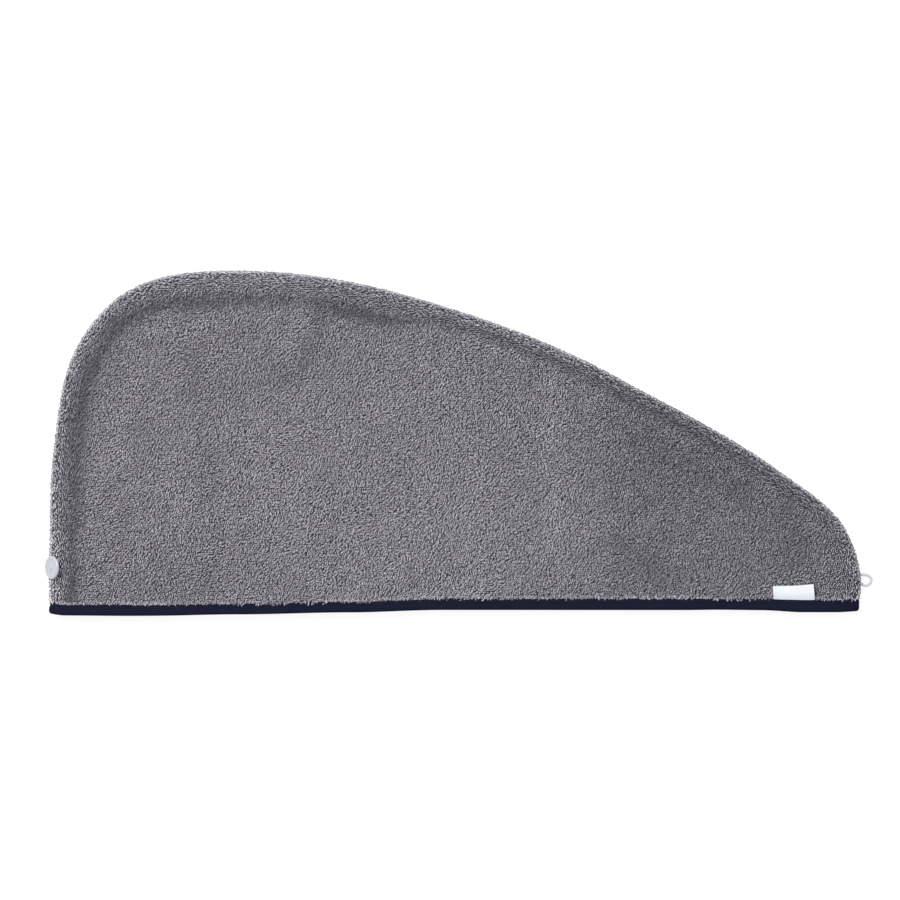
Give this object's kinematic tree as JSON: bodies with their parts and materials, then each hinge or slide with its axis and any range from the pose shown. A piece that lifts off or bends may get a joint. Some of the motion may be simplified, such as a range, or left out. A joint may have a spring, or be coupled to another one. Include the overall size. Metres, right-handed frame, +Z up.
{
  "type": "hair turban towel",
  "caption": "Terry hair turban towel lying flat: curved crown tapering to a tail, bound mouth, button at the crown end, elastic loop at the tail, small blank label.",
  "frame": {"origin": "middle of the outer box in plan, on the surface that the towel lies on", "axes": "+X along the mouth from the button end to the loop end, +Y from the mouth towards the top of the crown, +Z up"},
  "size_m": [0.6636, 0.2752, 0.0226],
  "materials": {
    "terry": "looped pile",
    "tape": "woven twill tape",
    "button": "smooth",
    "elastic": "braided cord",
    "label": "woven, blank"
  },
  "bodies": {
    "root": {"front_panel": "terry", "back_panel": "terry", "binding": "tape", "button": "button", "elastic_loop": "elastic", "label": "label"}
  },
  "joints": []
}
